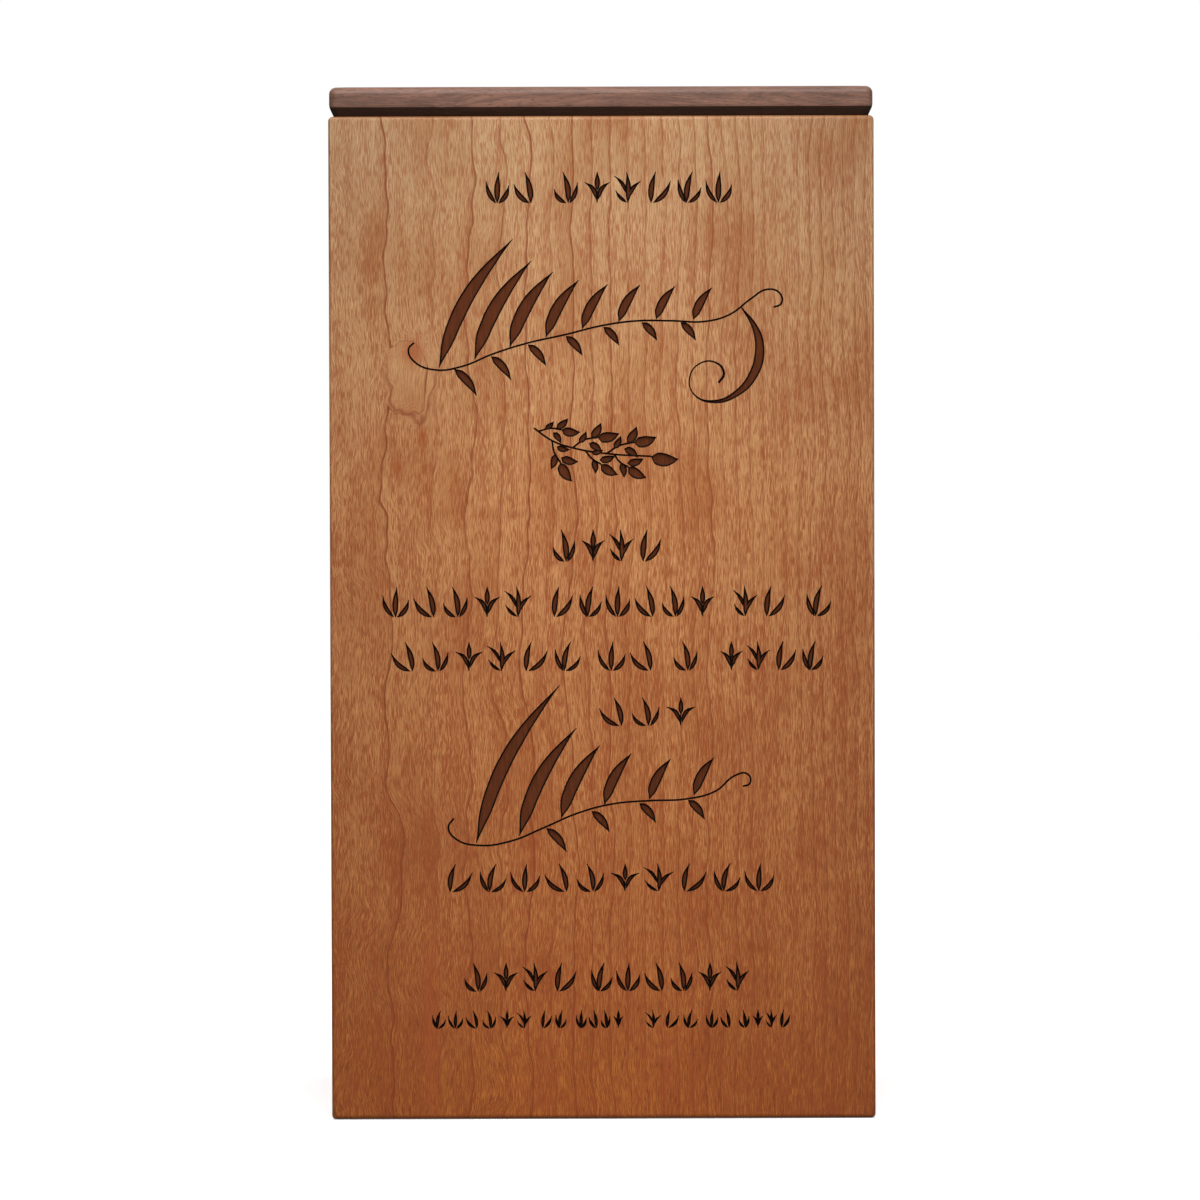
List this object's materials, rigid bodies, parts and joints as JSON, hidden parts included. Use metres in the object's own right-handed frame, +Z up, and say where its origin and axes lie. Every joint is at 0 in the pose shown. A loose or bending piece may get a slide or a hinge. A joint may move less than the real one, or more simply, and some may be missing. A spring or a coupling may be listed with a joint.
{
  "type": "cremation urn box",
  "caption": "Tall square wooden urn box of mitred boards with an incised front; a thin darker lid rests on the rim and lifts off, and the flat underside stands on a table.",
  "frame": {"origin": "centre of the underside, on the surface that the box stands on", "axes": "+Z up along the height, -Y out of the incised front, +X to the right as one faces the front"},
  "size_m": [0.14, 0.14, 0.2655],
  "materials": {
    "cherry": "satin lacquer",
    "cherry_board": "sanded, thin oil",
    "walnut": "satin lacquer"
  },
  "bodies": {
    "root": {"front_panel": "cherry", "back_panel": "cherry", "left_panel": "cherry", "right_panel": "cherry", "bottom_board": "cherry_board", "lid": "walnut"}
  },
  "joints": []
}
